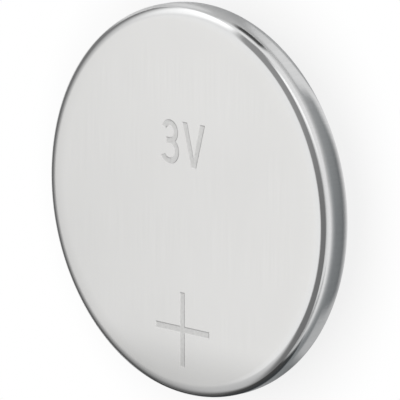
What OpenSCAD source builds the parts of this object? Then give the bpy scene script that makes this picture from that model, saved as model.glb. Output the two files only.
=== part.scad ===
// Lithium coin cell, lying on its negative cap with the positive face up.
// The origin is at the middle of the negative contact face, and +Z is the cell's axis.
// Every piece is turned: it is one flat section, drawn as radius and height, carried round the axis.

/* [Cell] */
// Outer diameter of the cell
cell_d = 20; // [18:0.1:24.5]
// Height over both contact faces
cell_h = 2.5; // [2.2:0.1:5.4]
// Thickness of the steel sheet of the can and of the cap
sheet_t = 0.25; // [0.2:0.01:0.3]

/* [Positive can] */
// Width of the rounded rim around the flat positive face
rim_w = 0.76; // [0.6:0.01:1]
// How far the crease round the rim lies inside the outer wall
crease_in = 0.15; // [0.08:0.01:0.2]
// How far the crease lies under the positive face
crease_drop = 0.28; // [0.2:0.01:0.4]
// Depth under the positive face at which the side wall turns straight
shoulder_drop = 0.86; // [0.7:0.01:1]
// Outer radius of the edge that is crimped in round the cap
crimp_r = 1.1; // [0.9:0.01:1.2]
// How far the crimped edge reaches in from the outer wall
lip_in = 0.85; // [0.7:0.01:1]
// How far the crimped edge stands back from the negative contact face
lip_set = 0.2; // [0.1:0.01:0.3]

/* [Negative cap] */
// Height of the cap's pan, from the contact face to its shelf
pan_h = 0.75; // [0.65:0.01:0.9]
// Outer radius of the edge of the contact face
pan_edge_r = 0.35; // [0.31:0.01:0.45]
// Radius of the hollow between the pan and the shelf
pan_root_r = 0.15; // [0.1:0.01:0.2]
// Outer radius of the bend from the shelf into the flange
flange_bend_r = 0.4; // [0.32:0.01:0.5]

/* [Gasket] */
// Thickness of the gasket between the can's wall and the cap's flange
gasket_t = 0.4; // [0.3:0.01:0.5]
// Thickness of the gasket between the flange's edge and the can
foot_t = 0.35; // [0.25:0.01:0.45]
// Thickness of the gasket's inner leg, inside the flange
leg_t = 0.25; // [0.2:0.01:0.3]
// How far the inner leg reaches along the flange
leg_h = 0.4; // [0.3:0.01:0.5]
// Width of the ring of gasket that shows between the can and the cap
ring_w = 0.4; // [0.3:0.01:0.5]
// Height of that ring above the negative contact face
ring_z = 0.38; // [0.32:0.01:0.45]

/* [Electrodes] */
// Gap between the lithium disc and the cap's inner wall
lithium_gap = 0.7; // [0.3:0.05:2.5]
// Thickness of the lithium disc
lithium_t = 0.55; // [0.4:0.01:0.7]
// Gap between the separator and the cap's inner wall
separator_gap = 0.1; // [0.05:0.01:0.3]
// Thickness of the separator
separator_t = 0.15; // [0.1:0.01:0.2]
// How far the cathode pellet reaches past the lithium disc
pellet_over = 0.2; // [0:0.01:0.25]
// Width of the bevel on the pellet's pressed edges
pellet_bevel = 0.12; // [0.05:0.01:0.2]
// How far the cathode collector reaches past the pellet
collector_over = 0.1; // [0:0.01:0.2]
// Thickness of the cathode collector
collector_t = 0.15; // [0.1:0.01:0.2]

/* [Hidden] */
$fn = 180;
// How far a cutting shape runs past what it cuts
cut = 1;
cell_r = cell_d / 2;
// The arc from the flat face to the crease leaves the face without an edge
corner_r = (pow(rim_w - crease_in, 2) + pow(crease_drop, 2)) / (2 * crease_drop);
// The arc from the crease to the side wall meets the wall without an edge
shoulder_fall = shoulder_drop - crease_drop;
shoulder_r = (pow(crease_in, 2) + pow(shoulder_fall, 2)) / (2 * crease_in);
// Radius of the opening that the crimped edge leaves
lip_r = cell_r - lip_in;
pan_r = lip_r - ring_w;
flange_r = cell_r - sheet_t - gasket_t;
// The flange stands on the gasket's foot, inside the can
flange_top = cell_h - sheet_t - foot_t;
// The gasket's inner leg lies against the inside of the flange
leg_outer_r = flange_r - sheet_t;
// Lithium and separator stand inside the pan's wall, and pellet and collector follow the lithium
pan_room_r = pan_r - sheet_t;
lithium_r = pan_room_r - lithium_gap;
separator_r = pan_room_r - separator_gap;
pellet_r = lithium_r + pellet_over;
collector_r = pellet_r + collector_over;
// The electrodes fill the height between the cap and the can
lithium_z = sheet_t;
separator_z = lithium_z + lithium_t;
pellet_z = separator_z + separator_t;
collector_z = cell_h - sheet_t - collector_t;
pellet_t = collector_z - pellet_z;

// What lies outside an arc at a section's upper outer corner: the arc's centre is at (r, z).
module upper_corner(r, z, radius) {
    translate([r, z])
        difference() {
            square([radius + cut, radius + cut]);
            circle(r = radius);
        }
}

// What lies outside an arc at a section's lower outer corner.
module lower_corner(r, z, radius) {
    mirror([0, 1])
        upper_corner(r, -z, radius);
}

// The can's filled section, or with inset = sheet_t the room inside it.
module can_outline(inset) {
    difference() {
        translate([0, lip_set + inset])
            square([cell_r - inset, cell_h - lip_set - 2 * inset]);
        upper_corner(cell_r - rim_w, cell_h - corner_r, corner_r - inset);
        upper_corner(cell_r - shoulder_r, cell_h - shoulder_drop, shoulder_r - inset);
        lower_corner(cell_r - crimp_r, lip_set + crimp_r, crimp_r - inset);
    }
}

// The cap's filled section up to the height top, or with inset = sheet_t the room inside it.
module cap_outline(inset, top) {
    root_r = pan_root_r + inset;
    difference() {
        union() {
            translate([0, inset])
                square([pan_r - inset, top - inset]);
            translate([0, pan_h + inset])
                square([flange_r - inset, top - pan_h - inset]);
            // The hollow between pan and shelf is rounded
            difference() {
                translate([pan_r - inset, pan_h - pan_root_r])
                    square([root_r, root_r]);
                translate([pan_r + pan_root_r, pan_h - pan_root_r])
                    circle(r = root_r);
            }
        }
        lower_corner(pan_r - pan_edge_r, pan_edge_r, pan_edge_r - inset);
        translate([0, pan_h + flange_bend_r])
            lower_corner(flange_r - flange_bend_r, 0, flange_bend_r - inset);
    }
}

// A ring's section between two radii and two heights.
module ring_section(inner, outer, bottom, top) {
    translate([inner, bottom])
        square([outer - inner, top - bottom]);
}

module positive_can() {
    color([0.80, 0.80, 0.79])
        rotate_extrude()
            difference() {
                can_outline(0);
                can_outline(sheet_t);
                // The cap stands in this opening
                square([lip_r, lip_set + crimp_r]);
            }
}

module negative_cap() {
    color([0.74, 0.74, 0.73])
        rotate_extrude()
            difference() {
                cap_outline(0, flange_top);
                cap_outline(sheet_t, flange_top + cut);
            }
}

module sealing_gasket() {
    foot_r = leg_outer_r - leg_t;
    color([0.20, 0.21, 0.22])
        rotate_extrude() {
            // The wall between can and cap, and its end that shows beside the lip
            difference() {
                union() {
                    intersection() {
                        can_outline(sheet_t);
                        ring_section(pan_r, cell_r, lip_set, cell_h);
                    }
                    ring_section(pan_r, lip_r, ring_z, pan_h);
                }
                cap_outline(0, cell_h);
            }
            // The foot under the flange's edge, and the leg inside the flange
            intersection() {
                can_outline(sheet_t);
                union() {
                    ring_section(foot_r, cell_r, flange_top, cell_h);
                    ring_section(foot_r, leg_outer_r, flange_top - leg_h, cell_h);
                }
            }
        }
}

module lithium_anode() {
    color([0.66, 0.68, 0.70])
        translate([0, 0, lithium_z])
            cylinder(r = lithium_r, h = lithium_t);
}

module separator() {
    color([0.94, 0.94, 0.91])
        translate([0, 0, separator_z])
            cylinder(r = separator_r, h = separator_t);
}

module cathode_pellet() {
    // Pressed powder: both edges of the disc are bevelled
    half_t = pellet_t / 2;
    color([0.16, 0.15, 0.15])
        translate([0, 0, pellet_z + half_t])
            for (side = [0, 1])
                mirror([0, 0, side]) {
                    cylinder(r = pellet_r, h = half_t - pellet_bevel);
                    translate([0, 0, half_t - pellet_bevel])
                        cylinder(r1 = pellet_r, r2 = pellet_r - pellet_bevel, h = pellet_bevel);
                }
}

module cathode_collector() {
    color([0.62, 0.62, 0.60])
        translate([0, 0, collector_z])
            cylinder(r = collector_r, h = collector_t);
}

positive_can();
sealing_gasket();
negative_cap();
lithium_anode();
separator();
cathode_pellet();
cathode_collector();
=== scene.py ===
"""A lithium coin cell lying on its negative cap, with the positive face up.

The pieces follow from the outside in: can, cap and gasket, and then the discs from the cap to the can.
All sizes are in metres, in the cell's own frame: +Z is its axis and the table is at zero.
"""

import bmesh
import bpy
import numpy as np
from mathutils import Matrix, Vector
from mathutils.geometry import delaunay_2d_cdt


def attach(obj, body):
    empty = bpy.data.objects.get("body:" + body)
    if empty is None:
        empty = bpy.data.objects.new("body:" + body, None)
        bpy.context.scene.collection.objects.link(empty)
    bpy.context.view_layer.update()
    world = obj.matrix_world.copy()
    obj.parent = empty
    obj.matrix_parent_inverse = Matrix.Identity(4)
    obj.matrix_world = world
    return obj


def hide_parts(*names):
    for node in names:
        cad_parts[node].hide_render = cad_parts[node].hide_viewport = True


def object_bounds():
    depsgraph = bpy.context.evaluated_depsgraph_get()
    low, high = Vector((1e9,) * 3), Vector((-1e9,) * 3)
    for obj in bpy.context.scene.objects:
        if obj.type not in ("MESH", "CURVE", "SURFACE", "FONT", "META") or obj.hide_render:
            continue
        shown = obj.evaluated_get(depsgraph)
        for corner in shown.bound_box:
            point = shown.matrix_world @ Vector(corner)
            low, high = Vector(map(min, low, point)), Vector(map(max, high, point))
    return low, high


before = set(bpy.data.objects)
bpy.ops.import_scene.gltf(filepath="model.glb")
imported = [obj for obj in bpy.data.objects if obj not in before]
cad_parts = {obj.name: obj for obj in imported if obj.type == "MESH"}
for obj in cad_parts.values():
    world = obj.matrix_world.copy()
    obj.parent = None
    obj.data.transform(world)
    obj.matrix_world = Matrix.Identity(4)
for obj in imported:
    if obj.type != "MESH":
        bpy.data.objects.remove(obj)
cad_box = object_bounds()


# The camera looks down on the positive face from the cell's right, through a long lens.
# The face's middle comes a little left of the picture's middle.
mm = 0.001
cell_h = cad_box[1].z
view_dir = Vector((0.7018, 0.1982, 0.6842)).normalized()
view_right = Vector((0.6981, 0.0, -0.7160)).normalized()
view_up = view_dir.cross(view_right)
camera_distance = 278.9 * mm
picture_px = 400
px_size = 0.05014 * mm
face_px = (181.3, 202.8)
sensor_mm = 36
clip_range = (0.01, 10)

scene = bpy.context.scene
scene.view_settings.view_transform = "Standard"
face_middle = Vector((0, 0, cell_h))
aim = (face_middle + view_right * (picture_px / 2 - face_px[0]) * px_size
       + view_up * (face_px[1] - picture_px / 2) * px_size)
camera = bpy.data.objects.new("camera", bpy.data.cameras.new("camera"))
scene.collection.objects.link(camera)
camera.location = face_middle + view_dir * camera_distance
camera_back = (camera.location - aim).normalized()
camera_side = view_up.cross(camera_back).normalized()
camera_axes = Matrix((camera_side, camera_back.cross(camera_side), camera_back)).transposed()
camera.rotation_mode = "QUATERNION"
camera.rotation_quaternion = camera_axes.to_quaternion()
camera.data.sensor_width = sensor_mm
camera.data.lens = sensor_mm * camera_distance / (picture_px * px_size)
camera.data.clip_start, camera.data.clip_end = clip_range
scene.camera = camera


# The floor is one sheet of pale paper that keeps the cell's faint shadow and is plain white past it.
# In the metal only, it has painted light and painted shade close round the cell, which draw the rim's lines.
# Each pair is where a soft step starts and ends, from the axis, a middle, or along a side's direction.
floor_r = 1.0
floor_sides = 96
floor_gap = 0.01 * mm
plain_white = (1, 1, 1, 1)
paper_tone = 0.92
shadow_seen = (9.6 * mm, 14.0 * mm)
least_white = 0.84
# Painted light that only the metal sees: white past the shadow's edge, beyond the top, to the left, and a
# glow
shadow_side = (0.955, -0.297, 0)
shadow_edge = (10.8 * mm, 20.0 * mm)
shadow_end = (-28.0 * mm, -10.0 * mm)
bright_side = (0.643, 0.766, 0)
bright_edge = (11.2 * mm, 17.0 * mm)
left_side = (-0.90, 0.43, 0)
left_edge = (8.0 * mm, 12.5 * mm)
left_white = 0.34
glow_middle = (-3.2 * mm, 12.8 * mm, 0)
glow_edge = (1.0 * mm, 3.2 * mm)
glow_white = 0.6
# A ring of painted light under the crimp, and painted shade inside it, that only the metal sees
crimp_shine = (9.3 * mm, 10.75 * mm)
shine_white = 0.86
# Each of these is a side, the cosines between which its change sets in, and the change there
shine_wider = (((0.50, 0.866, 0), (0.93, 0.99), 1.3 * mm), ((0.643, 0.766, 0), (0.88, 1.0), 0.6 * mm),
               ((0.643, -0.766, 0), (0.88, 0.985), 1.5 * mm))
shine_weaker = (((-0.087, 0.996, 0), (0.80, 1.0), 0.50), ((0.707, -0.707, 0), (0.75, 1.0), 0.42),
                ((0.309, -0.951, 0), (0.90, 0.97), 0.42))
crimp_shade = (9.1 * mm, 9.5 * mm)
shade_white = 0.35
shade_wider = (((0.259, 0.966, 0), (0.72, 1.02), 1.2 * mm), ((0.50, -0.866, 0), (0.87, 0.99), 0.7 * mm))
under_cap = (8.5 * mm, 9.0 * mm)
under_white = 0.8
# Painted shadow that only the metal sees: deeper close to the cell, darkest in a patch, and a little blue
deep_middle = (2.0 * mm, -3.5 * mm, 0)
deep_shadow = (9.8 * mm, 15.5 * mm)
deep_tone = 0.56
deep_tint = (0.90, 1.0, 1.06, 1)
shadow_patch_scale = (0.5, 1, 1)
shadow_patch_middle = (1.9 * mm, -14.0 * mm, 0)
shadow_patch_edge = (3.2 * mm, 4.8 * mm)
shadow_patch_tone = 0.10


def node(tree, kind, inputs=None, **settings):
    """A shader node of that kind, with its settings, and each input given a value or joined to a socket."""
    made = tree.nodes.new("ShaderNode" + kind)
    for name, value in settings.items():
        setattr(made, name, value)
    for name, value in (inputs or {}).items():
        if isinstance(value, bpy.types.NodeSocket):
            tree.links.new(value, made.inputs[name])
        else:
            made.inputs[name].default_value = value
    return made


def finish_named(name):
    """A new material and its node tree, with nothing in the tree."""
    material = bpy.data.materials.new(name)
    material.use_nodes = True
    material.node_tree.nodes.clear()
    return material, material.node_tree


def smooth(tree, value, start, end, low=0.0, high=1.0):
    """A soft step: low before start and high after end."""
    inputs = {"Value": value, "From Min": start, "From Max": end, "To Min": low, "To Max": high}
    return node(tree, "MapRange", inputs, interpolation_type="SMOOTHSTEP").outputs["Result"]


def math(tree, operation, *values):
    """A sum, product or other figure of one to three values."""
    return node(tree, "Math", dict(enumerate(values)), operation=operation).outputs[0]


def mixed(tree, factor, first, second, kind="RGBA"):
    """What lies between the first and the second colour, or value, by that factor."""
    inputs = {"Factor": factor, "A": first, "B": second}
    return node(tree, "Mix", inputs, data_type=kind).outputs["Result"]


def dimmed(tree, color, share):
    """A colour multiplied by that share."""
    return node(tree, "VectorMath", {0: color, "Scale": share}, operation="SCALE").outputs["Vector"]


def pale_paper():
    """Matt paper, mixed with white for the eye and the metal, and with painted light and shade for the metal
    alone.
    """
    material, tree = finish_named("pale_paper")
    place = node(tree, "TexCoord").outputs["Object"]
    rays = node(tree, "LightPath").outputs
    away = node(tree, "VectorMath", {0: place}, operation="LENGTH").outputs["Value"]
    way = node(tree, "VectorMath", {0: place}, operation="NORMALIZE").outputs["Vector"]

    def along(vector, side):
        """How far a vector reaches along that side."""
        return node(tree, "VectorMath", {0: vector, 1: side}, operation="DOT_PRODUCT").outputs["Value"]

    def apart(vector, middle):
        """How far a place lies from that middle."""
        return node(tree, "VectorMath", {0: vector, 1: middle}, operation="DISTANCE").outputs["Value"]

    def less(value, places):
        """A value that is lowered towards some sides, in soft steps of the way that the place lies."""
        for side, width, amount in places:
            value = math(tree, "SUBTRACT", value, smooth(tree, along(way, side), *width, 0, amount))
        return value

    seen = math(tree, "MULTIPLY", rays["Is Camera Ray"], smooth(tree, away, *shadow_seen, least_white, 1))
    # Painted light: in the metal the paper is white past the shadow's straight edge, beyond the cell's top,
    # and in part to its left
    upwards = node(tree, "SeparateXYZ", {0: place}).outputs["Y"]
    white = math(tree, "MULTIPLY", smooth(tree, along(place, shadow_side), *shadow_edge),
                 smooth(tree, upwards, *shadow_end))
    white = math(tree, "MAXIMUM", white, smooth(tree, along(place, bright_side), *bright_edge))
    white = math(tree, "MAXIMUM", white, smooth(tree, along(place, left_side), *left_edge, 0, left_white))
    white = math(tree, "MAXIMUM", white, smooth(tree, apart(place, glow_middle), *glow_edge, glow_white, 0))
    # A ring of painted light lies under the crimp, in the metal, wider towards some sides and weaker towards
    # others
    ring = smooth(tree, less(away, shine_wider), *crimp_shine, 1, 0)
    white = math(tree, "MAXIMUM", white, math(tree, "MULTIPLY", ring, less(shine_white, shine_weaker)))
    # Inside that ring lies painted shade, and the cap over it mirrors a plain pale sheet
    white = math(tree, "MULTIPLY", white, smooth(tree, less(away, shade_wider), *crimp_shade, shade_white, 1))
    white = math(tree, "MAXIMUM", white, smooth(tree, away, *under_cap, under_white, 0))
    mirrored = math(tree, "MAXIMUM", rays["Is Glossy Ray"], rays["Is Transmission Ray"])
    share = math(tree, "MAXIMUM", seen, math(tree, "MULTIPLY", mirrored, white))
    # Painted shadow: close by the cell the metal sees a deeper shadow than the eye does, darkest in a small
    # patch
    deep = smooth(tree, apart(place, deep_middle), *deep_shadow, deep_tone - 1, 0)
    patch = node(tree, "VectorMath", {0: place, 1: shadow_patch_scale}, operation="MULTIPLY").outputs["Vector"]
    patch = smooth(tree, apart(patch, shadow_patch_middle), *shadow_patch_edge, shadow_patch_tone - 1, 0)
    deep = math(tree, "MULTIPLY", math(tree, "MINIMUM", deep, patch), mirrored)
    tint = mixed(tree, math(tree, "MULTIPLY", deep, -1), plain_white, deep_tint)
    tone = dimmed(tree, tint, math(tree, "MULTIPLY_ADD", deep, paper_tone, paper_tone))
    matt = node(tree, "BsdfDiffuse", {"Color": tone})
    plain = node(tree, "Emission", {"Color": plain_white, "Strength": 1})
    above = node(tree, "MixShader", {0: share, 1: matt.outputs[0], 2: plain.outputs[0]})
    # From underneath the paper is clear, so that the negative side can be looked at
    facing = node(tree, "NewGeometry").outputs["Backfacing"]
    clear = node(tree, "BsdfTransparent")
    both = node(tree, "MixShader", {0: facing, 1: above.outputs[0], 2: clear.outputs[0]})
    node(tree, "OutputMaterial", {"Surface": both.outputs[0]})
    return material


def placed(name, mesh):
    """An object in the scene that has that mesh."""
    made = bpy.data.objects.new(name, mesh)
    scene.collection.objects.link(made)
    return made


around = np.linspace(0, 2 * np.pi, floor_sides, endpoint=False)
floor_edge = np.stack([floor_r * np.cos(around), floor_r * np.sin(around),
                       np.full(floor_sides, -floor_gap)], axis=1)
floor_mesh = bpy.data.meshes.new("floor")
floor_mesh.from_pydata(floor_edge, [], [np.arange(floor_sides)])
floor_mesh.materials.append(pale_paper())
floor = placed("floor", floor_mesh)


# The cell stands in a light tent: a dome with a round soft box over the cell's left, a lit wall round
# that side, brightest beyond the cell's top, and a pale strip along the horizon on the camera's side.
# It shows in the metal. Turns and heights are in degrees, and a pair is where a soft step starts and ends.
tent_r = 0.25
tent_rows, tent_columns = 46, 120
key_middle = (-0.60, -0.15, 1.0)
key_horizon = 0.05
key_edge = (0.80, 1.04)
key_light = 1.06
key_slope = (0.8, 0.6, 0)
key_fade = (-1.30, -1.04)
key_least = 0.68
wall_turn = (-20, 56)
wall_light = (0.62, 1.37)
wall_near_end, wall_near_lean = (-81, -61), 0.35
wall_far_end, wall_far_lean = (80, 94), 0.55
wall_foot_turn, wall_foot = (10, 62), (6, -10)
wall_top_middle, wall_top_reach, wall_top = -12, 75, (42, 13)
wall_high, wall_high_share = (29, 43), 0.62
wall_up, wall_up_more = (22, 60), 0.33
strip_near_end, strip_far_end = (-72, -35), (66, 86)
strip_rise = (4, 15)
strip_turn = (12, 50)
strip_light = (0.92, 1.28)
dim_light = 0.22
dim_near_end, dim_far_end = (-20, 75), (110, 160)
dim_more = 0.13


def tent_light():
    """The tent's own light by direction: the largest of soft box, wall and strip, over a dim rest."""
    material, tree = finish_named("tent_light")
    place = node(tree, "TexCoord").outputs["Object"]
    way = node(tree, "VectorMath", {0: place}, operation="NORMALIZE").outputs["Vector"]
    x, y, z = node(tree, "SeparateXYZ", {0: way}).outputs
    degrees = 180 / np.pi
    height = math(tree, "MULTIPLY", math(tree, "ARCSINE", z), degrees)
    left_turn = math(tree, "MULTIPLY", math(tree, "ARCTAN2", y, math(tree, "MULTIPLY", x, -1)), degrees)
    right_turn = math(tree, "MULTIPLY", math(tree, "ARCTAN2", y, x), degrees)
    # The soft box is round where rays from the cell cross a level plane
    above = math(tree, "MAXIMUM", z, key_horizon)
    crossing = {"X": math(tree, "DIVIDE", x, above), "Y": math(tree, "DIVIDE", y, above), "Z": 1.0}
    crossing = node(tree, "CombineXYZ", crossing).outputs[0]
    off_key = node(tree, "VectorMath", {0: crossing, 1: key_middle}, operation="DISTANCE").outputs["Value"]
    key = smooth(tree, off_key, *key_edge, key_light, 0)
    slope = node(tree, "VectorMath", {0: crossing, 1: key_slope}, operation="DOT_PRODUCT").outputs["Value"]
    key = math(tree, "MULTIPLY", key, smooth(tree, slope, *key_fade, key_least, 1))
    # The wall stands lower where it is brighter, its foot is dark, and both its ends lean
    off_top = math(tree, "ABSOLUTE", math(tree, "SUBTRACT", left_turn, wall_top_middle))
    top = smooth(tree, off_top, 0, wall_top_reach, *wall_top)
    wall = smooth(tree, left_turn, *wall_turn, wall_light[0] - dim_light, wall_light[1] - dim_light)
    up_more = smooth(tree, left_turn, *wall_turn, wall_up_more, 0)
    wall = math(tree, "MULTIPLY_ADD", up_more, smooth(tree, height, *wall_up), wall)
    foot = smooth(tree, left_turn, *wall_foot_turn, *wall_foot)
    wall = math(tree, "MULTIPLY", wall, smooth(tree, height, foot, top))
    high_share = smooth(tree, left_turn, *wall_turn, 1, wall_high_share)
    wall = math(tree, "MULTIPLY", wall, smooth(tree, height, *wall_high, 1, high_share))
    near_end = math(tree, "MULTIPLY_ADD", height, wall_near_lean, left_turn)
    wall = math(tree, "MULTIPLY", wall, smooth(tree, near_end, *wall_near_end))
    far_end = math(tree, "MULTIPLY_ADD", height, wall_far_lean, left_turn)
    wall = math(tree, "MULTIPLY", wall, smooth(tree, far_end, *wall_far_end, 1, 0))
    strip = smooth(tree, right_turn, *strip_turn, strip_light[0] - dim_light, strip_light[1] - dim_light)
    strip = math(tree, "MULTIPLY", strip, smooth(tree, height, *strip_rise, 1, 0))
    strip = math(tree, "MULTIPLY", strip, smooth(tree, right_turn, *strip_near_end))
    strip = math(tree, "MULTIPLY", strip, smooth(tree, right_turn, *strip_far_end, 1, 0))
    dim = math(tree, "MULTIPLY", smooth(tree, right_turn, *dim_near_end, 0, dim_more),
               smooth(tree, right_turn, *dim_far_end, 1, 0))
    lit = math(tree, "ADD", math(tree, "MAXIMUM", wall, strip), math(tree, "ADD", dim, dim_light))
    lit = math(tree, "MAXIMUM", lit, key)
    light = node(tree, "Emission", {"Color": plain_white, "Strength": lit})
    node(tree, "OutputMaterial", {"Surface": light.outputs[0]})
    return material


def dome(radius, rows, columns):
    """Half a sphere that faces inwards: point (i, j) is at height i and turn j, and the top closes in one
    point."""
    rise = np.linspace(0, np.pi / 2, rows, endpoint=False)
    turn = np.linspace(0, 2 * np.pi, columns, endpoint=False)
    points = radius * np.stack([np.outer(np.cos(rise), np.cos(turn)), np.outer(np.cos(rise), np.sin(turn)),
                                np.outer(np.sin(rise), np.ones(columns))], axis=2).reshape(-1, 3)
    i, j = (grid.ravel() for grid in np.meshgrid(np.arange(rows - 1), np.arange(columns), indexing="ij"))
    row, row_above, after = i * columns, (i + 1) * columns, (j + 1) % columns
    faces = list(np.stack([row + j, row_above + j, row_above + after, row + after], axis=1))
    j = np.arange(columns)
    last = (rows - 1) * columns
    faces += list(np.stack([last + j, np.full(columns, len(points)), last + (j + 1) % columns], axis=1))
    return np.concatenate([points, [[0, 0, radius]]]), faces


tent_mesh = bpy.data.meshes.new("tent")
tent_points, tent_faces = dome(tent_r, tent_rows, tent_columns)
tent_mesh.from_pydata(tent_points, [], tent_faces)
tent_mesh.materials.append(tent_light())
tent = placed("tent", tent_mesh)
tent.visible_camera = False

world = bpy.data.worlds.new("room")
scene.world = world
world.use_nodes = True
world.node_tree.nodes["Background"].inputs["Color"].default_value = plain_white
world.node_tree.nodes["Background"].inputs["Strength"].default_value = 1


# A dark card stands close by, from the cell's upper left round to its lower right, and a short one beyond
# its top. Both are out of the picture, show only in the metal, and have soft edges.
# Turns are in degrees, ends in radians of turn, and edges, top and foot, are shares of the card's height.
card_columns, card_rows = 90, 7
dark_turn = (132, 308)
dark_r = 15.0 * mm
dark_h = 3.8 * mm
near_turn = (232, 252)
near_in = 3.2 * mm
near_lower = 0.9 * mm
leaving_turn = (284, 308)
leaving_out = 2.4 * mm
tone_turns = (140, 180, 205, 238, 252)
dark_tones = (0.26, 0.16, 0.14, 0.11, 0.07)
dark_ends, dark_edges = (0.2, 0.14), (0.3, 0.35)
short_turn = (63, 83)
short_r = 12.9 * mm
short_h = 1.75 * mm
short_tone = 0.08
short_ends, short_edges = (0.09, 0.09), (0.4, 0.1)


def standing(name, turn, radius, height, tones, ends, edges):
    """A strip that stands on the floor round the cell: point (i, j) is at height i and turn j, at that turn's
    radius. Its light at each turn is that tone, and it clears over its ends and its edges."""
    n = len(turn)
    level = np.linspace(0, 1, card_rows)
    points = np.stack([np.outer(np.ones(card_rows), radius * np.cos(turn)),
                       np.outer(np.ones(card_rows), radius * np.sin(turn)), np.outer(level, height)], axis=2)
    i, j = (grid.ravel() for grid in np.meshgrid(np.arange(card_rows - 1), np.arange(n - 1), indexing="ij"))
    faces = np.stack([i * n + j, i * n + j + 1, (i + 1) * n + j + 1, (i + 1) * n + j], axis=1)
    mesh = bpy.data.meshes.new(name)
    mesh.from_pydata(points.reshape(-1, 3), [], faces)
    clear = np.minimum((turn - turn[0]) / ends[0], (turn[-1] - turn) / ends[1]).clip(0, 1)
    clear = np.outer(np.minimum((1 - level) / edges[0], level / edges[1]).clip(0, 1), clear)
    for key, values in (("tone", np.tile(tones, card_rows)), ("share", clear.ravel())):
        mesh.attributes.new(key, "FLOAT", "POINT").data.foreach_set("value", values.astype(np.float32))
    material, tree = finish_named(name)
    tone = node(tree, "Attribute", attribute_name="tone").outputs["Fac"]
    share = smooth(tree, node(tree, "Attribute", attribute_name="share").outputs["Fac"], 0, 1)
    light = node(tree, "Emission", {"Color": plain_white, "Strength": tone})
    open_air = node(tree, "BsdfTransparent")
    both = node(tree, "MixShader", {0: share, 1: open_air.outputs[0], 2: light.outputs[0]})
    node(tree, "OutputMaterial", {"Surface": both.outputs[0]})
    mesh.materials.append(material)
    made = placed(name, mesh)
    made.visible_camera = False
    made.visible_diffuse = False
    made.visible_shadow = False


turn = np.linspace(*dark_turn, card_columns)
near = np.interp(turn, near_turn, (0, 1))
leaving = np.interp(turn, leaving_turn, (0, 1))
standing("dark_card", np.radians(turn), dark_r - near_in * near + leaving_out * leaving,
         dark_h - near_lower * near, np.interp(turn, tone_turns, dark_tones), dark_ends, dark_edges)
turn = np.radians(np.linspace(*short_turn, card_columns))
level = np.ones(card_columns)
standing("short_card", turn, short_r * level, short_h * level, short_tone * level, short_ends, short_edges)


# The positive can is deep-drawn from nickel-plated steel sheet. Its face is satin and its rim is bright,
# its polarity and voltage are stamped into the face, and its edge is crimped in round the gasket.
cell_r = cad_box[1].x
sheet_t = 0.25 * mm
rim_w = 0.76 * mm
crease_in = 0.15 * mm
crease_drop = 0.28 * mm
shoulder_drop = 0.86 * mm
crimp_r = 1.1 * mm
lip_in = 0.85 * mm
lip_set = 0.2 * mm
lip_edge_r = 0.04 * mm
roll_start = 8.5 * mm
roll_drop = 0.010 * mm
turns = 400
roll_steps, corner_steps, shoulder_steps, crimp_steps, edge_steps = 8, 24, 20, 34, 5
inner_crimp_steps, inner_shoulder_steps = 16, 8
inner_crease_in = 0.75 * sheet_t
weld_reach = 0.0001 * mm
sharp_angle = np.radians(8)
stamp_depth = 0.024 * mm
stamp_slope = 0.060 * mm
plus_middle = (0.06 * mm, -6.52 * mm)
plus_reach = 3.87 * mm
plus_width = 0.37 * mm
voltage_middle = (0, 3.0 * mm)
voltage_h = 2.3 * mm
voltage_gap = 0.75 * voltage_h
stroke = 0.35 * mm
polish_w = 0.35 * mm
face_tone = (0.73, 0.727, 0.718, 1)
rim_tone = (0.713, 0.716, 0.717, 1)
# Painted shade on the wall below the crease, and in part on the stamped floors
low_shade, frost_shade = 0.9, 0.96
foot_darkening, foot_share = (-9.2 * mm, -6.6 * mm), 0.80
face_grain, grain_share, frost_share = (9000, 9000, 9000), 0.02, 0.16
face_clouds, cloud_share = (150, 150, 150), 0.03
die_scratches, die_share, crimp_share = (9000, 250, 1), 0.02, 0.12
satin_rough, polished_rough, frost_rough, grain_rough = 0.20, 0.08, 0.40, 0.04
face_relief, face_bump = 0.0004 * mm, 0.5
noise_detail, noise_contrast = 3, (0.3, 0.7)

shoulder_fall = shoulder_drop - crease_drop
shoulder_r = (crease_in ** 2 + shoulder_fall ** 2) / (2 * crease_in)
flat_r = cell_r - rim_w


def arc(middle, radius, start, end, steps):
    """Points of a circle in the section, as (radius, height): angles run from the axis's direction
    outwards."""
    tilt = np.linspace(start, end, steps)
    return np.stack([middle[0] + radius * np.sin(tilt), middle[1] + radius * np.cos(tilt)], axis=1)


def arc_through(start, end, tilt, steps):
    """The arc from start to end in the section that leaves start at that tilt: its chord slopes by the mean
    of the tilts at its two ends."""
    chord = np.subtract(end, start)
    end_tilt = 2 * np.arctan2(-chord[1], chord[0]) - tilt
    radius = chord[0] / (np.sin(end_tilt) - np.sin(tilt))
    middle = (start[0] - radius * np.sin(tilt), start[1] - radius * np.cos(tilt))
    return arc(middle, radius, tilt, end_tilt, steps)


def eased(corner, before, after, reach):
    """A section's corner as a curve that leaves the side before it and meets the side after it, each at that
    reach from the corner: the corner pulls it by its share 2t(1 - t)."""
    corner = np.array(corner)
    sides = [corner + (np.array(side) - corner) * reach / np.linalg.norm(np.subtract(side, corner))
             for side in (before, after)]
    t = np.linspace(0, 1, edge_steps)[:, None]
    return (1 - t) ** 2 * sides[0] + 2 * t * (1 - t) * corner + t ** 2 * sides[1]


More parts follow.
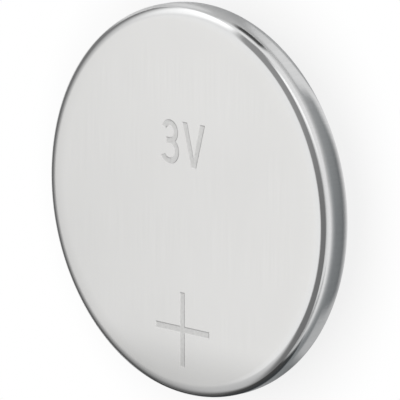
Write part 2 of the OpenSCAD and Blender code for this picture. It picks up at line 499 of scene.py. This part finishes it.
def turned(section):
    """A section of (radius, height) points carried round the axis. Point (i, j) is section point j, turned by
    i steps, and an end on the axis closes in one point. It gives points, faces and each face corner's
    (way round, way along) in metres."""
    on_axis = section[:, 0] == 0
    ends = section[on_axis]
    line = section[~on_axis]
    n = len(line)
    angle = np.linspace(0, 2 * np.pi, turns, endpoint=False)
    points = np.stack([np.outer(np.cos(angle), line[:, 0]), np.outer(np.sin(angle), line[:, 0]),
                       np.outer(np.ones(turns), line[:, 1])], axis=2).reshape(-1, 3)
    along = np.concatenate([[0], np.cumsum(np.hypot(*np.diff(line, axis=0).T))])
    i, j = np.meshgrid(np.arange(turns), np.arange(n - 1), indexing="ij")
    i, j = i.ravel(), j.ravel()
    after = (i + 1) % turns
    faces = list(np.stack([i * n + j, i * n + j + 1, after * n + j + 1, after * n + j], axis=1))
    step = 2 * np.pi * cell_r / turns
    uv = [np.stack([np.stack([i, i, i + 1, i + 1], 1) * step,
                    np.stack([along[j], along[j + 1], along[j + 1], along[j]], 1)], axis=2).reshape(-1, 2)]
    i = np.arange(turns)
    after = (i + 1) % turns
    for pole, first in ((ends[0:1], True), (ends[-1:], False)):
        if not on_axis[0 if first else -1]:
            continue
        rim = 0 if first else n - 1
        tip = np.full(turns, len(points))
        points = np.concatenate([points, [[0, 0, pole[0, 1]]]])
        faces += list(np.stack([tip, i * n + rim, after * n + rim] if first
                               else [i * n + rim, tip, after * n + rim], axis=1))
        uv.append(np.stack([np.repeat(i, 3) * step, np.full(3 * turns, along[rim])], axis=1))
    return points, faces, np.concatenate(uv)


def inset(outline, distance):
    """A closed outline moved inwards: each corner slides along its mitre."""
    ahead = np.roll(outline, -1, axis=0) - outline
    ahead /= np.linalg.norm(ahead, axis=1)[:, None]
    inward = np.stack([-ahead[:, 1], ahead[:, 0]], axis=1)
    mitre = inward + np.roll(inward, 1, axis=0)
    mitre /= (mitre * inward).sum(axis=1)[:, None]
    return outline + distance * mitre


def inside(points, outline):
    """Which points lie inside a closed outline: a ray to the right crosses it an odd number of times."""
    a, b = outline, np.roll(outline, -1, axis=0)
    x, y = points[:, 0, None], points[:, 1, None]
    crosses = (a[:, 1] > y) != (b[:, 1] > y)
    reach = a[:, 0] + (y - a[:, 1]) * (b[:, 0] - a[:, 0]) / np.where(b[:, 1] == a[:, 1], 1, b[:, 1] - a[:, 1])
    return ((crosses & (x < reach)).sum(axis=1) % 2) == 1


def flat_sheet(border, holes=()):
    """Triangles that fill a closed border and leave the holes open, as numbers of the loops' own points.
    It works in millimetres."""
    loops = [border, *holes]
    points = np.concatenate(loops) / mm
    starts = np.cumsum([0] + [len(loop) for loop in loops])
    edges = [(s + k, s + (k + 1) % len(loop)) for s, loop in zip(starts, loops) for k in range(len(loop))]
    snap = 1e-6
    _, _, found, origins, _, _ = delaunay_2d_cdt([Vector(p) for p in points], edges, [], 0, snap, True)
    number = np.array([origin[0] for origin in origins])
    triangles = number[np.array(found)]
    middles = points[triangles].mean(axis=1)
    keep = inside(middles, border / mm)
    for hole in holes:
        keep &= ~inside(middles, hole / mm)
    return triangles[keep]


def plus_outline(middle, reach, width):
    """A plus sign's outline, anticlockwise."""
    h, w = reach / 2, width / 2
    return np.array([(w, w), (w, h), (-w, h), (-w, w), (-h, w), (-h, -w),
                     (-w, -w), (-w, -h), (w, -h), (w, -w), (h, -w), (h, w)]) + middle


def ring_piece(middle, radius, start, end, steps=20):
    """Points of a circle in the face, from one angle to another."""
    angle = np.linspace(start, end, steps)
    return np.stack([middle[0] + radius * np.cos(angle), middle[1] + radius * np.sin(angle)], axis=1)


def three_outline(middle, height, stroke):
    """A figure three's outline, anticlockwise: a small bowl on a larger one, joined by a short bar."""
    small_share, large_share, bar_share = 0.235, 0.265, 0.55
    w = stroke / 2
    small, large = small_share * height - w / 2, large_share * height - w / 2
    upper = (middle[0], middle[1] + height / 2 - w - small)
    lower = (middle[0], middle[1] - height / 2 + w + large)
    waist = upper[1] - small
    gap = upper[1] - lower[1]
    # Both bowls' outer circles meet at the notch on the right
    notch_y = (gap ** 2 + (large + w) ** 2 - (small + w) ** 2) / (2 * gap)
    from_lower = np.arcsin(notch_y / (large + w))
    from_upper = np.arcsin((notch_y - gap) / (small + w))
    tip = np.radians(155)
    bar_end = middle[0] - bar_share * small
    bar = [(bar_end, waist + w), (bar_end, waist - w)]
    return np.concatenate([
        ring_piece(lower, large + w, -tip, from_lower),
        ring_piece(upper, small + w, from_upper, tip)[1:],
        ring_piece(upper, small - w, tip, -np.pi / 2),
        bar,
        ring_piece(lower, large - w, np.pi / 2, -tip),
    ])


def vee_outline(middle, height, stroke):
    """A capital V's outline, anticlockwise."""
    half_share, foot_strokes, across_strokes, crotch_strokes = 0.36, 0.52, 1.08, 1.75
    h, half = height / 2, half_share * height
    foot = foot_strokes * stroke
    across = across_strokes * stroke
    crotch = -h + crotch_strokes * stroke
    return np.array([(-foot, -h), (foot, -h), (half, h), (half - across, h), (0, crotch),
                     (-half + across, h), (-half, h)]) + middle


def surface(name, parts):
    """A smooth mesh from parts of (points, faces, corners' uv, point masks), welded where the parts meet. The
    masks become its attributes."""
    starts = np.cumsum([0] + [len(part[0]) for part in parts])
    points = np.concatenate([part[0] for part in parts])
    faces = [face + start for part, start in zip(parts, starts) for face in part[1]]
    mesh = bpy.data.meshes.new(name)
    mesh.from_pydata(points, [], faces)
    layer = mesh.uv_layers.new(name="turned")
    layer.uv.foreach_set("vector", np.concatenate([part[2] for part in parts]).ravel().astype(np.float32))
    for mask in parts[0][3]:
        values = np.concatenate([part[3][mask] for part in parts])
        mesh.attributes.new(mask, "FLOAT", "POINT").data.foreach_set("value", values.astype(np.float32))
    mesh.shade_smooth()
    bm = bmesh.new()
    bm.from_mesh(mesh)
    bmesh.ops.remove_doubles(bm, verts=bm.verts, dist=weld_reach)
    bm.to_mesh(mesh)
    bm.free()
    mesh.set_sharp_from_angle(angle=sharp_angle)
    return mesh


def can_section():
    """The can's section as one line: from the flat face down the rounded rim, round the lip and back up
    inside."""
    roll = np.linspace(0, 1, roll_steps)
    across = roll_start + (flat_r - roll_start) * roll
    face_edge = np.stack([across, cell_h - roll_drop * roll ** 2], axis=1)
    roll_tilt = np.arctan(2 * roll_drop / (flat_r - roll_start))
    crease = (cell_r - crease_in, cell_h - crease_drop)
    shoulder = (cell_r - shoulder_r, cell_h - shoulder_drop)
    shoulder_start = np.arcsin((shoulder_r - crease_in) / shoulder_r)
    crimp = (cell_r - crimp_r, lip_set + crimp_r)
    lip_tilt = np.pi - np.arcsin((crimp_r - lip_in) / crimp_r)
    inner_lip = np.pi - np.arcsin((crimp_r - lip_in) / (crimp_r - sheet_t))
    outer_side = arc(crimp, crimp_r, np.pi / 2, lip_tilt, crimp_steps)
    inner_side = arc(crimp, crimp_r - sheet_t, inner_lip, np.pi / 2, inner_crimp_steps)
    inner_start = np.arcsin((crease[0] - inner_crease_in - shoulder[0]) / (shoulder_r - sheet_t))
    return np.concatenate([
        face_edge,
        arc_through(face_edge[-1], crease, roll_tilt, corner_steps)[1:],
        arc(shoulder, shoulder_r, shoulder_start, np.pi / 2, shoulder_steps)[1:],
        outer_side[:-1],
        eased(outer_side[-1], outer_side[-2], inner_side[0], lip_edge_r),
        eased(inner_side[0], outer_side[-1], inner_side[1], lip_edge_r),
        inner_side[1:],
        arc(shoulder, shoulder_r - sheet_t, np.pi / 2, inner_start, inner_shoulder_steps),
        [(flat_r, cell_h - sheet_t), (0, cell_h - sheet_t)],
    ])


def steel_can():
    """The can: its section turned, its marks' sloping edges and floors, and the flat face between them."""
    section = can_section()
    shell = turned(section)
    wall = np.clip((section[:-1, 0] - flat_r) / polish_w, 0, 1)
    wall = np.maximum(wall, section[:-1, 1] < cell_h - crease_drop)
    low = np.clip((cell_h - section[:-1, 1] - crease_drop) / (cell_h - crease_drop - lip_set), 0, 1)
    masks = {"rim": np.append(np.tile(wall, turns), 1), "low": np.append(np.tile(low, turns), 1),
             "frosted": np.zeros(len(shell[0]))}
    parts = [(*shell, masks)]
    across, up = voltage_middle
    marks = [plus_outline(plus_middle, plus_reach, plus_width),
             three_outline((across - voltage_gap / 2, up), voltage_h, stroke),
             vee_outline((across + voltage_gap / 2, up), voltage_h, stroke)]
    for mark in marks:
        n = len(mark)
        line = np.concatenate([mark, inset(mark, stamp_slope)])
        points = np.c_[line, np.repeat([cell_h, cell_h - stamp_depth], n)]
        k = np.arange(n)
        sides = list(np.stack([k, (k + 1) % n, (k + 1) % n + n, k + n], axis=1))
        faces = sides + list(flat_sheet(line[n:]) + n)
        blank = np.zeros(2 * n)
        parts.append((points, faces, line[np.concatenate(faces)],
                      {"rim": blank, "low": blank, "frosted": np.repeat([0.0, 1.0], n)}))
    border = shell[0][:-1].reshape(turns, -1, 3)[:, 0, :2]
    line = np.concatenate([border, *marks])
    top = flat_sheet(border, marks)
    parts.append((np.c_[line, np.full(len(line), cell_h)], list(top), line[top.ravel()],
                  {mask: np.zeros(len(line)) for mask in masks}))
    return surface("steel_can", parts)


can_mesh = steel_can()
can = placed("steel_can", can_mesh)


def effect(name, inputs, outputs):
    """A node group that materials share, with its sockets: the group, its input node and its output node."""
    made = bpy.data.node_groups.new(name, "ShaderNodeTree")
    for side, sockets in (("INPUT", inputs), ("OUTPUT", outputs)):
        for socket, kind in sockets.items():
            made.interface.new_socket(socket, in_out=side, socket_type=kind)
    return made, made.nodes.new("NodeGroupInput"), made.nodes.new("NodeGroupOutput")


# Two effects that the materials share: a noise that can be stretched, and a colour that a value varies.
stretched, given, result = effect(
    "stretched_noise", {"Vector": "NodeSocketVector", "Scale": "NodeSocketVector"},
    {"Value": "NodeSocketFloat"})
place = node(stretched, "VectorMath", {0: given.outputs["Vector"], 1: given.outputs["Scale"]},
             operation="MULTIPLY").outputs["Vector"]
cloud = node(stretched, "TexNoise", {"Vector": place, "Scale": 1, "Detail": noise_detail}).outputs["Fac"]
contrast = node(stretched, "MapRange", {"Value": cloud, "From Min": noise_contrast[0],
                                        "From Max": noise_contrast[1]}).outputs["Result"]
stretched.links.new(contrast, result.inputs["Value"])

varying, given, result = effect(
    "varied_tone", {"Color": "NodeSocketColor", "Value": "NodeSocketFloat", "Share": "NodeSocketFloat"},
    {"Color": "NodeSocketColor"})
centred = math(varying, "SUBTRACT", given.outputs["Value"], 0.5)
swing = math(varying, "MULTIPLY_ADD", centred, given.outputs["Share"], 1.0)
varying.links.new(dimmed(varying, given.outputs["Color"], swing), result.inputs["Color"])


def noise(tree, vector, scale):
    """The shared noise on that vector, in features per metre along each axis."""
    made = tree.nodes.new("ShaderNodeGroup")
    made.node_tree = stretched
    tree.links.new(vector, made.inputs["Vector"])
    made.inputs["Scale"].default_value = scale
    return made.outputs["Value"]


def varied(tree, color, value, share):
    """A colour that a value between 0 and 1 makes darker and lighter by half that share."""
    made = tree.nodes.new("ShaderNodeGroup")
    made.node_tree = varying
    for socket, given in (("Color", color), ("Value", value), ("Share", share)):
        if isinstance(given, bpy.types.NodeSocket):
            tree.links.new(given, made.inputs[socket])
        else:
            made.inputs[socket].default_value = given
    return made.outputs["Color"]


def spread(tree, value, low, high):
    """A value between 0 and 1 carried to the range from low to high."""
    return node(tree, "MapRange", {"Value": value, "To Min": low, "To Max": high}).outputs["Result"]


def coated(tree, height, relief, strength, inputs):
    """Ends a material with a surface that has those inputs, and that height as its fine relief."""
    bump = node(tree, "Bump", {"Height": height, "Distance": relief, "Strength": strength})
    made = node(tree, "BsdfPrincipled", {**inputs, "Normal": bump.outputs["Normal"]})
    node(tree, "OutputMaterial", {"Surface": made.outputs[0]})


material, tree = finish_named("can_steel")
coords = node(tree, "TexCoord").outputs["Object"]
drawn = node(tree, "UVMap", uv_map="turned").outputs["UV"]
rim_mask = node(tree, "Attribute", attribute_name="rim").outputs["Fac"]
low_mask = node(tree, "Attribute", attribute_name="low").outputs["Fac"]
frost_mask = node(tree, "Attribute", attribute_name="frosted").outputs["Fac"]
# The face has a fine even grain, and the wall carries the die's fine scratches along the way it was drawn
grain = noise(tree, coords, face_grain)
scratches = noise(tree, drawn, die_scratches)
tone = mixed(tree, rim_mask, face_tone, rim_tone)
tone = varied(tree, tone, noise(tree, coords, face_clouds), cloud_share)
tone = varied(tree, tone, scratches, spread(tree, low_mask, die_share, crimp_share))
tone = varied(tree, tone, grain, spread(tree, frost_mask, grain_share, frost_share))
# Painted shade: the wall below the crease is made a little darker
# The stamped floors are a little darker too: partly painted shade in the recess, partly their frosted finish
tone = dimmed(tree, tone, math(tree, "MULTIPLY", spread(tree, low_mask, 1.0, low_shade),
                               spread(tree, frost_mask, 1.0, frost_shade)))
# The face's colour is darker towards its foot
foot_darker = smooth(tree, node(tree, "SeparateXYZ", {0: coords}).outputs["Y"], *foot_darkening, foot_share, 1)
tone = dimmed(tree, tone, mixed(tree, rim_mask, foot_darker, 1.0, "FLOAT"))
polish = spread(tree, rim_mask, satin_rough, polished_rough)
rough = mixed(tree, frost_mask, polish, frost_rough, "FLOAT")
rough = math(tree, "MULTIPLY_ADD", grain, grain_rough, rough)
height = mixed(tree, low_mask, grain, scratches, "FLOAT")
coated(tree, height, face_relief, face_bump, {"Metallic": 1.0, "Roughness": rough, "Base Color": tone})
can_mesh.materials.append(material)
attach(can, "root")
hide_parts("positive_can")


# The negative cap is pressed from the same sheet, with a fine-grained satin contact face. Its flange stands
# in the gasket, inside the crimped can, so only its pan shows, and only from underneath.
ring_w = 0.4 * mm
gasket_t = 0.4 * mm
foot_t = 0.35 * mm
pan_h = 0.75 * mm
pan_edge_r = 0.35 * mm
pan_root_r = 0.15 * mm
flange_bend_r = 0.4 * mm
press_edge_r = 0.05 * mm
pan_steps, pan_edge_steps, root_steps, bend_steps = 7, (14, 8), (8, 10), (10, 8)
cap_tone = (0.60, 0.595, 0.585, 1)
cap_grain, cap_grain_share = (6500, 6500, 6500), 0.10
cap_pebble, cap_rough = (2600, 2600, 2600), (0.30, 0.42)
cap_clouds, cap_cloud_share = (180, 180, 180), 0.05
cap_relief, cap_grain_height, cap_bump = 0.002 * mm, 0.5, 0.6

pan_r = cell_r - lip_in - ring_w
flange_r = cell_r - sheet_t - gasket_t
flange_top = cell_h - sheet_t - foot_t


def cap_section():
    """The cap's section as one line: out along the contact face, up pan and flange, and back inside the
    sheet. Each pair of steps is for the outer and the inner side."""
    edge = (pan_r - pan_edge_r, pan_edge_r)
    root = (pan_r + pan_root_r, pan_h - pan_root_r)
    bend = (flange_r - flange_bend_r, pan_h + flange_bend_r)
    rim_out, rim_in = (flange_r, flange_top), (flange_r - sheet_t, flange_top)
    pan = np.linspace(0, edge[0], pan_steps)[:-1]
    return np.concatenate([
        np.stack([pan, 0 * pan], axis=1),
        arc(edge, pan_edge_r, np.pi, np.pi / 2, pan_edge_steps[0]),
        arc(root, pan_root_r, -np.pi / 2, 0, root_steps[0]),
        arc(bend, flange_bend_r, np.pi, np.pi / 2, bend_steps[0]),
        eased(rim_out, bend, rim_in, press_edge_r),
        eased(rim_in, rim_out, (flange_r - sheet_t, bend[1]), press_edge_r),
        arc(bend, flange_bend_r - sheet_t, np.pi / 2, np.pi, bend_steps[1]),
        arc(root, pan_root_r + sheet_t, 0, -np.pi / 2, root_steps[1]),
        arc(edge, pan_edge_r - sheet_t, np.pi / 2, np.pi, pan_edge_steps[1]),
        [(0, sheet_t)],
    ])


cap_mesh = surface("steel_cap", [(*turned(cap_section()), {})])
cap = placed("steel_cap", cap_mesh)

material, tree = finish_named("cap_steel")
coords = node(tree, "TexCoord").outputs["Object"]
grain = noise(tree, coords, cap_grain)
pebble = noise(tree, coords, cap_pebble)
tone = varied(tree, cap_tone, noise(tree, coords, cap_clouds), cap_cloud_share)
tone = varied(tree, tone, grain, cap_grain_share)
rough = spread(tree, pebble, *cap_rough)
height = math(tree, "MULTIPLY_ADD", grain, cap_grain_height, pebble)
coated(tree, height, cap_relief, cap_bump, {"Metallic": 1.0, "Roughness": rough, "Base Color": tone})
cap_mesh.materials.append(material)
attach(cap, "root")
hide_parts("negative_cap")


# The gasket is one moulded ring of dark polypropylene. The cap's flange stands in its groove, and the crimp
# squeezes it against the cap. Its end shows from underneath as a thin ring beside the lip.
leg_t = 0.25 * mm
leg_h = 0.4 * mm
ring_z = 0.38 * mm
gasket_play = 0.004 * mm
ring_bulge = 0.05 * mm
ring_steps = 9
groove_steps = 12
gasket_tone = (0.045, 0.047, 0.052, 1)
flow_lines, flow_share = (300, 4000, 1), 0.35
gasket_grain, gasket_rough = (7000, 7000, 7000), (0.36, 0.52)
gasket_relief, gasket_bump = 0.0015 * mm, 0.5


def gasket_section():
    """The gasket's section as one closed line: its bulging end, up the can's inside, and back along the
    flange."""
    g = gasket_play
    lip = cell_r - lip_in + g
    crimp = (cell_r - crimp_r, lip_set + crimp_r)
    crimp_in = crimp_r - sheet_t - g
    shoulder = (cell_r - shoulder_r, cell_h - shoulder_drop)
    shoulder_in = shoulder_r - sheet_t - g
    crease_tilt = np.arcsin((cell_r - crease_in - inner_crease_in - g - shoulder[0]) / shoulder_in)
    ceiling = cell_h - sheet_t - g
    leg_out = flange_r - sheet_t - g
    leg_in = leg_out - leg_t
    leg_end = flange_top - leg_h
    bend = (flange_r - flange_bend_r, pan_h + flange_bend_r)
    root = (pan_r + pan_root_r, pan_h - pan_root_r)
    share = np.linspace(0, 1, ring_steps)
    across = pan_r + g + (lip - pan_r - 2 * g) * share
    ring_end = np.stack([across, ring_z + ring_bulge * (2 * share - 1) ** 2], axis=1)
    return np.concatenate([
        ring_end,
        arc(crimp, crimp_in, np.pi - np.arcsin((lip - crimp[0]) / crimp_in), np.pi / 2, groove_steps),
        arc(shoulder, shoulder_in, np.pi / 2, crease_tilt, inner_shoulder_steps),
        [(cell_r - rim_w, ceiling)],
        eased((leg_in, ceiling), (cell_r - rim_w, ceiling), (leg_in, flange_top), press_edge_r),
        eased((leg_in, leg_end), (leg_in, ceiling), (leg_out, leg_end), press_edge_r),
        eased((leg_out, leg_end), (leg_in, leg_end), (leg_out, flange_top), press_edge_r),
        [(leg_out, flange_top + g), (flange_r + g, flange_top + g)],
        arc(bend, flange_bend_r + g, np.pi / 2, np.pi, bend_steps[0]),
        arc(root, pan_root_r - g, 0, -np.pi / 2, root_steps[0]),
        ring_end[:1],
    ])


gasket_mesh = surface("gasket", [(*turned(gasket_section()), {})])
gasket = placed("gasket", gasket_mesh)

material, tree = finish_named("gasket_polymer")
coords = node(tree, "TexCoord").outputs["Object"]
flow = noise(tree, node(tree, "UVMap", uv_map="turned").outputs["UV"], flow_lines)
speckle = noise(tree, coords, gasket_grain)
tone = varied(tree, gasket_tone, flow, flow_share)
rough = spread(tree, speckle, *gasket_rough)
coated(tree, speckle, gasket_relief, gasket_bump, {"Roughness": rough, "Base Color": tone})
gasket_mesh.materials.append(material)
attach(gasket, "root")
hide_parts("sealing_gasket")


# The lithium anode is a disc punched from rolled lithium foil and pressed on to the cap. It is soft, grey and
# dull, with the roll's lines and a darker tarnish.
lithium_tone = (0.62, 0.64, 0.66, 1)
roll_lines, roll_share = (180, 5200, 5200), 0.12
tarnish_spots, tarnish_share = (420, 420, 420), 0.30
lithium_rough = (0.40, 0.60)
lithium_relief, lithium_bump = 0.003 * mm, 0.5


def finish_node(name, material):
    """Gives a CAD node whose shape stays that material."""
    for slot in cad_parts[name].material_slots:
        slot.material = material


material, tree = finish_named("lithium_metal")
coords = node(tree, "TexCoord").outputs["Object"]
rolled = noise(tree, coords, roll_lines)
tarnish = noise(tree, coords, tarnish_spots)
tone = varied(tree, lithium_tone, tarnish, tarnish_share)
tone = varied(tree, tone, rolled, roll_share)
rough = spread(tree, tarnish, *lithium_rough)
coated(tree, rolled, lithium_relief, lithium_bump, {"Metallic": 1.0, "Roughness": rough, "Base Color": tone})
finish_node("lithium_anode", material)


# The separator is a disc of white non-woven polypropylene fibre, soaked with electrolyte. Its fibres lie
# along both ways of the sheet.
felt_tone = (0.86, 0.86, 0.83, 1)
fibres_along, fibres_across, fibre_share = (900, 9000, 9000), (9000, 900, 9000), 0.16
felt_rough = (0.75, 0.95)
felt_sheen = 0.3
felt_relief, felt_bump = 0.01 * mm, 0.7

material, tree = finish_named("separator_felt")
coords = node(tree, "TexCoord").outputs["Object"]
fibres = math(tree, "MAXIMUM", noise(tree, coords, fibres_along), noise(tree, coords, fibres_across))
tone = varied(tree, felt_tone, fibres, fibre_share)
rough = spread(tree, fibres, *felt_rough)
coated(tree, fibres, felt_relief, felt_bump, {"Roughness": rough, "Base Color": tone,
                                              "Sheen Weight": felt_sheen})
finish_node("separator", material)


# The cathode pellet is manganese dioxide powder pressed with graphite: near black and matt, with flecks of
# graphite that are brighter and smoother.
powder_tone = (0.032, 0.029, 0.028, 1)
fleck_tone = (0.16, 0.16, 0.17, 1)
powder_grain, powder_share = (8000, 8000, 8000), 0.5
fleck_grain, fleck_least, fleck_full = (14000, 14000, 14000), 0.78, 0.92
powder_rough, fleck_rough = 0.85, 0.45
powder_relief, powder_bump = 0.008 * mm, 0.7

material, tree = finish_named("cathode_mix")
coords = node(tree, "TexCoord").outputs["Object"]
powder = noise(tree, coords, powder_grain)
fleck = node(tree, "MapRange", {"Value": noise(tree, coords, fleck_grain), "From Min": fleck_least,
                                "From Max": fleck_full}).outputs["Result"]
tone = varied(tree, powder_tone, powder, powder_share)
tone = mixed(tree, fleck, tone, fleck_tone)
rough = spread(tree, fleck, powder_rough, fleck_rough)
coated(tree, powder, powder_relief, powder_bump, {"Roughness": rough, "Base Color": tone})
finish_node("cathode_pellet", material)


# The cathode collector is a disc of rolled stainless sheet under the can's face. A thin coat of graphite
# paint dulls it unevenly, over the roll's lines.
collector_tone = (0.50, 0.50, 0.48, 1)
sheet_lines, line_share = (6500, 160, 160), 0.14
paint_spots, paint_share = (1500, 1500, 1500), 0.18
collector_rough = (0.34, 0.55)
collector_relief, collector_bump = 0.001 * mm, 0.5

material, tree = finish_named("collector_steel")
coords = node(tree, "TexCoord").outputs["Object"]
rolled = noise(tree, coords, sheet_lines)
paint = noise(tree, coords, paint_spots)
tone = varied(tree, collector_tone, rolled, line_share)
tone = varied(tree, tone, paint, paint_share)
rough = spread(tree, paint, *collector_rough)
coated(tree, rolled, collector_relief, collector_bump,
       {"Metallic": 1.0, "Roughness": rough, "Base Color": tone})
finish_node("cathode_collector", material)
